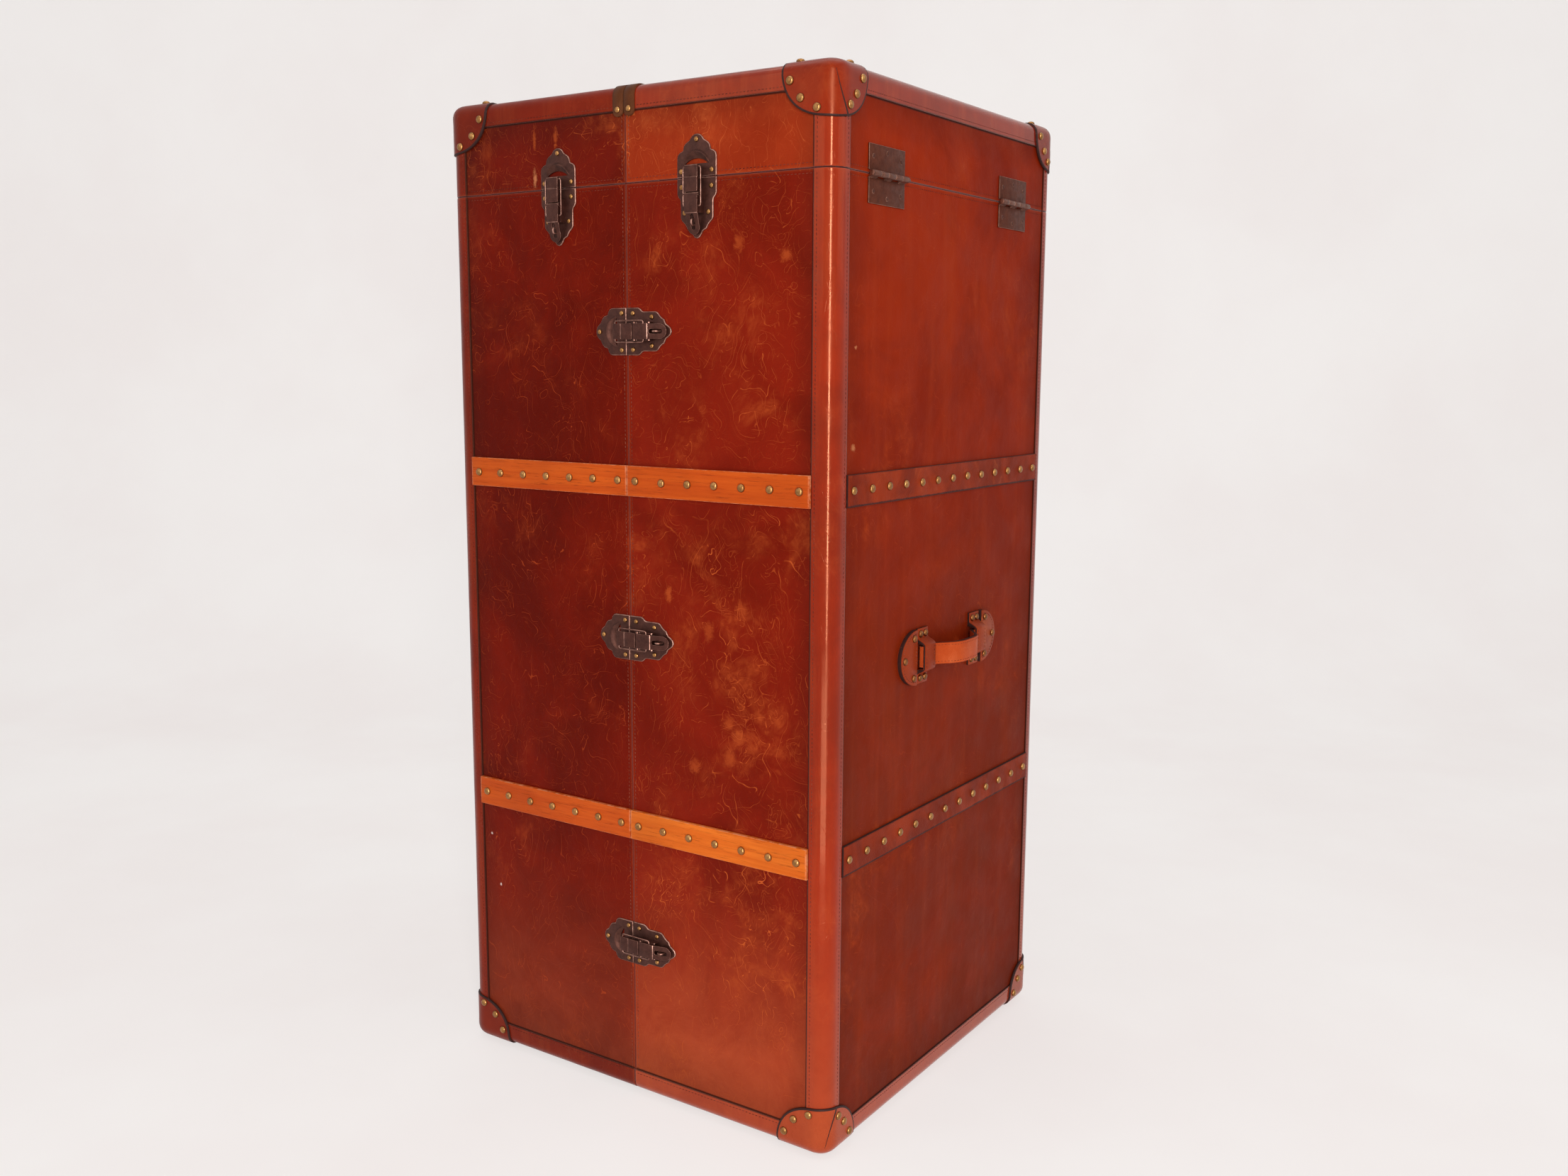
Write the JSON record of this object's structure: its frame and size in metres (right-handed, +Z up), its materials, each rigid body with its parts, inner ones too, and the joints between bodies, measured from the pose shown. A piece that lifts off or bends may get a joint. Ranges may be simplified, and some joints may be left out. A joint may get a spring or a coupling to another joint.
{
  "type": "bar trunk",
  "caption": "Tall leather-covered bar trunk that opens like a book, with a hinged lid on each half, draw latches, nailed wooden slats, leather straps, corner caps and side handles.",
  "frame": {"origin": "on the floor under the middle of the closed trunk", "axes": "+Z up, -Y to the front with the latches, +X to the right half as seen from the front"},
  "size_m": [0.616, 0.5543, 1.1925],
  "materials": {
    "leather": "waxed red-brown pull-up leather over a wooden case",
    "strap_leather": "waxed leather with dark painted edges",
    "cap_leather": "polished leather with dark painted edges",
    "tab_leather": "matt olive-brown leather",
    "grip_leather": "stitched tan leather",
    "slat_wood": "satin orange-brown hardwood",
    "board_wood": "satin walnut-brown",
    "bronze": "antique bronze with worn edges",
    "brass": "antique brass"
  },
  "bodies": {
    "left_half": {"left_case": "leather", "left_upper_slat": "slat_wood", "left_upper_strap": "strap_leather", "left_lower_slat": "slat_wood", "left_lower_strap": "strap_leather", "left_front_foot_cap": "cap_leather", "left_rear_foot_cap": "cap_leather", "left_handle": "grip_leather", "left_counter": "board_wood", "left_front_hinge_lower": "bronze", "left_rear_hinge_lower": "bronze", "left_lid_latch_plate": "bronze", "left_shelf": "board_wood", "back_hinge_left": "bronze", "left_bottle_rail": "brass", "top_latch_catch": "bronze", "middle_latch_catch": "bronze", "low_latch_catch": "bronze"},
    "right_half": {"right_case": "leather", "right_upper_slat": "slat_wood", "right_upper_strap": "strap_leather", "right_lower_slat": "slat_wood", "right_lower_strap": "strap_leather", "right_front_foot_cap": "cap_leather", "right_rear_foot_cap": "cap_leather", "right_handle": "grip_leather", "right_counter": "board_wood", "right_front_hinge_lower": "bronze", "right_rear_hinge_lower": "bronze", "right_lid_latch_plate": "bronze", "right_shelf": "board_wood", "back_hinge_right": "bronze", "top_latch_plate": "bronze", "middle_latch_plate": "bronze", "low_latch_plate": "bronze"},
    "left_lid": {"left_lid": "leather", "left_tab": "tab_leather", "left_front_lid_cap": "cap_leather", "left_rear_lid_cap": "cap_leather", "left_front_hinge_upper": "bronze", "left_rear_hinge_upper": "bronze", "left_lid_latch_catch": "bronze"},
    "right_lid": {"right_lid": "leather", "right_tab": "tab_leather", "right_front_lid_cap": "cap_leather", "right_rear_lid_cap": "cap_leather", "right_front_hinge_upper": "bronze", "right_rear_hinge_upper": "bronze", "right_lid_latch_catch": "bronze"},
    "left_lid_latch_lever": {"left_lid_latch_lever": "bronze"},
    "left_lid_latch_hook": {"left_lid_latch_hook": "bronze"},
    "right_lid_latch_lever": {"right_lid_latch_lever": "bronze"},
    "right_lid_latch_hook": {"right_lid_latch_hook": "bronze"},
    "top_latch_lever": {"top_latch_lever": "bronze"},
    "top_latch_hook": {"top_latch_hook": "bronze"},
    "middle_latch_lever": {"middle_latch_lever": "bronze"},
    "middle_latch_hook": {"middle_latch_hook": "bronze"},
    "low_latch_lever": {"low_latch_lever": "bronze"},
    "low_latch_hook": {"low_latch_hook": "bronze"},
    "drawer": {"drawer": "board_wood"}
  },
  "joints": [
    {"name": "right_half_swing", "type": "hinge", "parent": "left_half", "child": "right_half", "pos_m": [0, 0.2727, 0], "axis": [0, 0, 1], "range_deg": [0, 180]},
    {"name": "left_lid_turn", "type": "hinge", "parent": "left_half", "child": "left_lid", "pos_m": [-0.2807, 0, 1.085], "axis": [0, -1, 0], "range_deg": [0, 180]},
    {"name": "right_lid_turn", "type": "hinge", "parent": "right_half", "child": "right_lid", "pos_m": [0.2807, 0, 1.085], "axis": [0, 1, 0], "range_deg": [0, 180]},
    {"name": "left_lid_latch_lever_turn", "type": "hinge", "parent": "left_half", "child": "left_lid_latch_lever", "pos_m": [-0.1001, -0.2762, 1.0665], "axis": [-1, 0, 0], "range_deg": [0, 110]},
    {"name": "left_lid_latch_hook_turn", "type": "hinge", "parent": "left_lid_latch_lever", "child": "left_lid_latch_hook", "pos_m": [-0.1001, -0.2762, 1.0541], "axis": [-1, 0, 0], "range_deg": [-110, 0]},
    {"name": "right_lid_latch_lever_turn", "type": "hinge", "parent": "right_half", "child": "right_lid_latch_lever", "pos_m": [0.1001, -0.2762, 1.0665], "axis": [-1, 0, 0], "range_deg": [0, 110]},
    {"name": "right_lid_latch_hook_turn", "type": "hinge", "parent": "right_lid_latch_lever", "child": "right_lid_latch_hook", "pos_m": [0.1001, -0.2762, 1.0541], "axis": [-1, 0, 0], "range_deg": [-110, 0]},
    {"name": "top_latch_lever_turn", "type": "hinge", "parent": "right_half", "child": "top_latch_lever", "pos_m": [0.0185, -0.2762, 0.9224], "axis": [0, 0, -1], "range_deg": [0, 110]},
    {"name": "top_latch_hook_turn", "type": "hinge", "parent": "top_latch_lever", "child": "top_latch_hook", "pos_m": [0.0309, -0.2762, 0.9224], "axis": [0, 0, -1], "range_deg": [-110, 0]},
    {"name": "middle_latch_lever_turn", "type": "hinge", "parent": "right_half", "child": "middle_latch_lever", "pos_m": [0.0185, -0.2762, 0.5705], "axis": [0, 0, -1], "range_deg": [0, 110]},
    {"name": "middle_latch_hook_turn", "type": "hinge", "parent": "middle_latch_lever", "child": "middle_latch_hook", "pos_m": [0.0309, -0.2762, 0.5705], "axis": [0, 0, -1], "range_deg": [-110, 0]},
    {"name": "low_latch_lever_turn", "type": "hinge", "parent": "right_half", "child": "low_latch_lever", "pos_m": [0.0185, -0.2762, 0.196], "axis": [0, 0, -1], "range_deg": [0, 110]},
    {"name": "low_latch_hook_turn", "type": "hinge", "parent": "low_latch_lever", "child": "low_latch_hook", "pos_m": [0.0309, -0.2762, 0.196], "axis": [0, 0, -1], "range_deg": [-110, 0]},
    {"name": "drawer_slide", "type": "slide", "parent": "right_half", "child": "drawer", "axis": [-1, 0, 0], "range_m": [0, 0.18]}
  ],
  "couplings": [
    {"joint": "left_lid_latch_hook_turn", "follows": "left_lid_latch_lever_turn", "ratio": -1},
    {"joint": "right_lid_latch_hook_turn", "follows": "right_lid_latch_lever_turn", "ratio": -1},
    {"joint": "top_latch_hook_turn", "follows": "top_latch_lever_turn", "ratio": -1},
    {"joint": "middle_latch_hook_turn", "follows": "middle_latch_lever_turn", "ratio": -1},
    {"joint": "low_latch_hook_turn", "follows": "low_latch_lever_turn", "ratio": -1}
  ]
}
